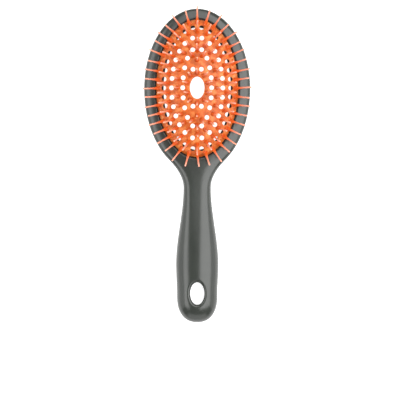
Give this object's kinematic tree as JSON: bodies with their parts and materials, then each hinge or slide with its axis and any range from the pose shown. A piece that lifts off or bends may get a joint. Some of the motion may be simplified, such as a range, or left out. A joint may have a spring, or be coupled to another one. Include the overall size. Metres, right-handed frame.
{
  "type": "vented oval hairbrush",
  "caption": "Vented oval hairbrush with a domed flexible pad of leaning pins in a head ring, and a rounded handle with a hang hole.",
  "frame": {"origin": "under the middle of the whole brush, on the surface that its back lies on", "axes": "+Z is the way the pins point, +Y runs from the handle to the head, +X runs across"},
  "size_m": [0.078, 0.2265, 0.0384],
  "materials": {
    "shell": "satin, moulded, dark green-grey",
    "pad": "soft orange, slightly translucent",
    "pin": "flexible orange, paler and translucent at the tip",
    "ring": "matte dark grey"
  },
  "bodies": {
    "root": {"handle_front_shell": "shell", "handle_back_shell": "shell", "pad_retaining_ring": "ring", "pad_rim": "pad", "pad_membrane": "pad"},
    "oval_pins": {"pins_round_oval": "pin"},
    "crest_pins": {"pins_crest": "pin"},
    "third_row": {"pins_third_row": "pin"},
    "second_row": {"pins_second_row": "pin"},
    "outer_row": {"pins_outer_long": "pin", "pins_outer_short": "pin"}
  },
  "joints": [
    {"name": "pad_press", "type": "slide", "parent": "root", "child": "oval_pins", "axis": [0, 0, -1], "range_m": [0, 0.003], "stiffness_N_per_m": 1500, "deforming": ["pad_membrane"]},
    {"name": "crest_pins_press", "type": "slide", "parent": "root", "child": "crest_pins", "axis": [0, 0, -1], "range_m": [0, 0.00268]},
    {"name": "third_row_press", "type": "slide", "parent": "root", "child": "third_row", "axis": [0, 0, -1], "range_m": [0, 0.00247]},
    {"name": "second_row_press", "type": "slide", "parent": "root", "child": "second_row", "axis": [0, 0, -1], "range_m": [0, 0.00179]},
    {"name": "outer_row_press", "type": "slide", "parent": "root", "child": "outer_row", "axis": [0, 0, -1], "range_m": [0, 0.00069]}
  ],
  "couplings": [
    {"joint": "crest_pins_press", "follows": "pad_press", "ratio": 0.877},
    {"joint": "third_row_press", "follows": "pad_press", "ratio": 0.808},
    {"joint": "second_row_press", "follows": "pad_press", "ratio": 0.581},
    {"joint": "outer_row_press", "follows": "pad_press", "ratio": 0.215}
  ]
}
